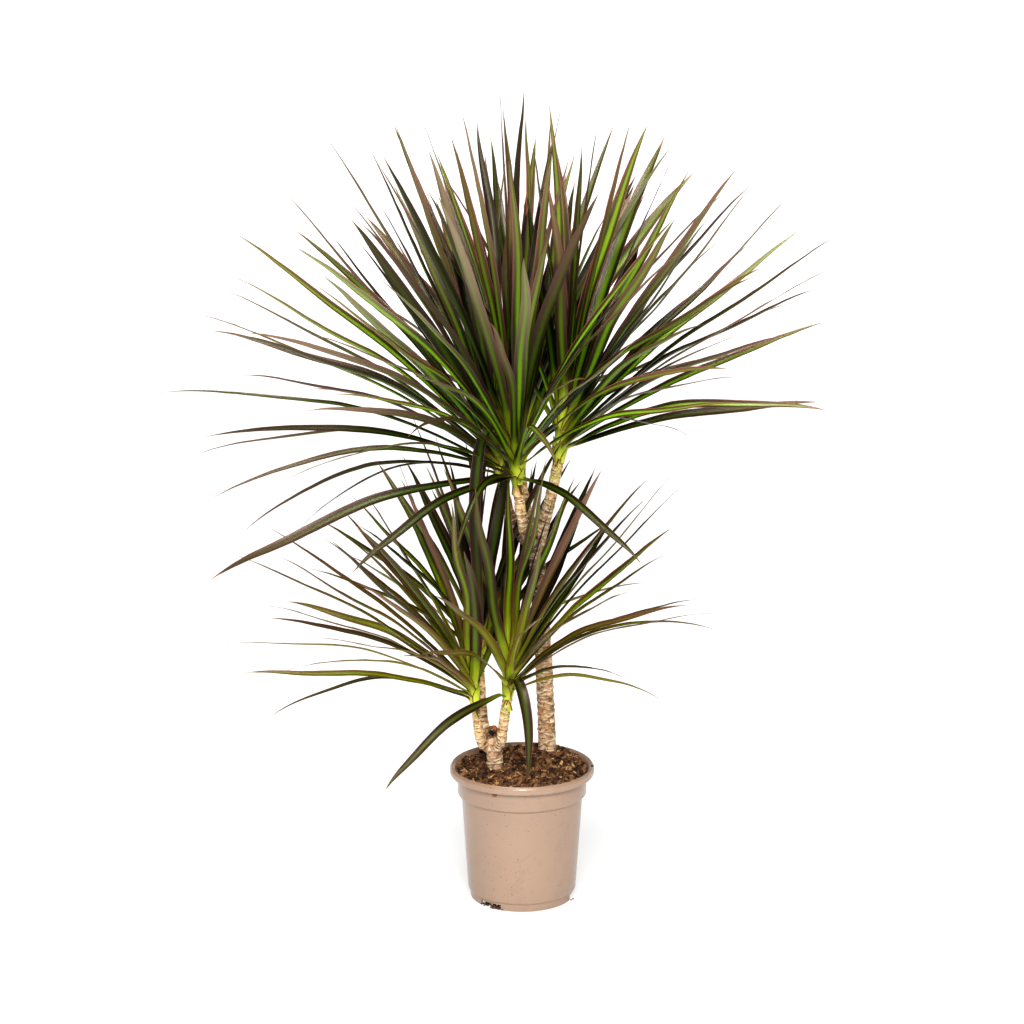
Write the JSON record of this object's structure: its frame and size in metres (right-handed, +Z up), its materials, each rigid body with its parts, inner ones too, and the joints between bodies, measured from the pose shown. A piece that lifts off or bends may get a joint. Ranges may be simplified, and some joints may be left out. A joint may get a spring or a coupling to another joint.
{
  "type": "potted dracaena marginata",
  "caption": "Potted dracaena marginata: long narrow maroon-edged leaves in heads on bare canes of two heights, in a round plastic grower's pot filled with peat.",
  "frame": {"origin": "on the floor, under the middle of the whole plant's box; the pot's axis stands 32 mm towards +X and 27 mm towards -Y of it", "axes": "+Z up the plant, -Y towards the viewer of the front, +X to the viewer's right"},
  "size_m": [0.7801, 0.7479, 0.9504],
  "materials": {
    "pot_plastic": "satin moulded plastic, taupe",
    "peat": "loose moist peat with tan fibres and chips",
    "bark": "cream to grey-brown bark with ring scars",
    "leaf": "glossy leaf, green down the middle and maroon along the edges"
  },
  "bodies": {
    "root": {"pot": "pot_plastic", "soil": "peat", "tall_cane": "bark", "short_cane": "bark", "leaves_front": "leaf", "leaves_right": "leaf", "leaves_left": "leaf", "leaves_back": "leaf", "leaves_low_left": "leaf", "leaves_low_right": "leaf", "leaves_low_back": "leaf"}
  },
  "joints": []
}
